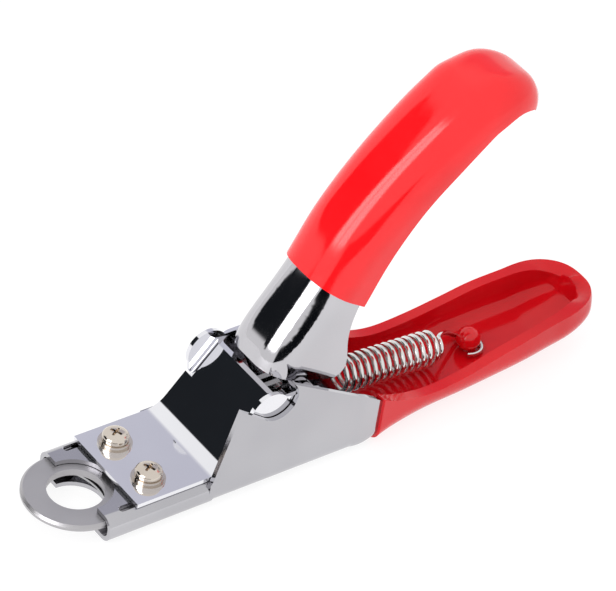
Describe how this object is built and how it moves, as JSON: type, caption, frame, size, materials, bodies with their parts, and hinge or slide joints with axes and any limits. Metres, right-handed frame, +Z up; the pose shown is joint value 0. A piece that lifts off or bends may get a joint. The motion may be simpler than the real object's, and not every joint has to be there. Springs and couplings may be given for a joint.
{
  "type": "guillotine nail clipper",
  "caption": "Hand-held guillotine nail clipper for pets: a fixed ring takes the nail, and squeezing the sprung lever handle slides a blade across it.",
  "frame": {"origin": "on the flat underside of the frame, straight below the fulcrum pin", "axes": "+X back along the lower handle, +Y across the tool, +Z up from the underside; the nail ring is at -X"},
  "size_m": [0.1362, 0.026, 0.0788],
  "materials": {
    "chrome": "bright nickel-chrome plating on pressed sheet steel",
    "ring_steel": "plain ground hardened steel",
    "blade_steel": "ground hardened steel",
    "nickel": "bright nickel plating",
    "washer_steel": "bright nickel plating",
    "pin_steel": "turned steel",
    "spring_wire": "bright drawn spring wire",
    "upper_vinyl": "glossy dipped vinyl, red",
    "lower_vinyl": "glossy dipped vinyl, red",
    "bead_vinyl": "glossy dipped vinyl, red"
  },
  "bodies": {
    "frame_body": {"frame": "chrome", "lower_grip": "lower_vinyl", "ring_plate": "ring_steel", "cover_plate": "chrome", "cover_screws": "nickel", "lock_washers": "washer_steel", "flat_washers": "washer_steel", "fulcrum_pin": "pin_steel", "spring_post": "pin_steel", "post_bead": "bead_vinyl", "spring": "spring_wire"},
    "lever_body": {"lever": "chrome", "upper_grip": "upper_vinyl", "drive_pin": "pin_steel", "spring_pin": "pin_steel"},
    "blade_body": {"blade": "blade_steel", "blade_carrier": "blade_steel", "carrier_rivets": "blade_steel"}
  },
  "joints": [
    {"name": "lever_hinge", "type": "hinge", "parent": "frame_body", "child": "lever_body", "pos_m": [0, 0, 0.018], "axis": [0, 1, 0], "range_deg": [0, 50], "stiffness_Nm_per_rad": 0.6, "springref_deg": -17.19, "deforming": ["spring"]},
    {"name": "blade_slide", "type": "slide", "parent": "frame_body", "child": "blade_body", "axis": [-1, 0, 0], "range_m": [0, 0.01131]}
  ],
  "couplings": [
    {"joint": "blade_slide", "follows": "lever_hinge", "m_per_rad": 0.012949}
  ]
}
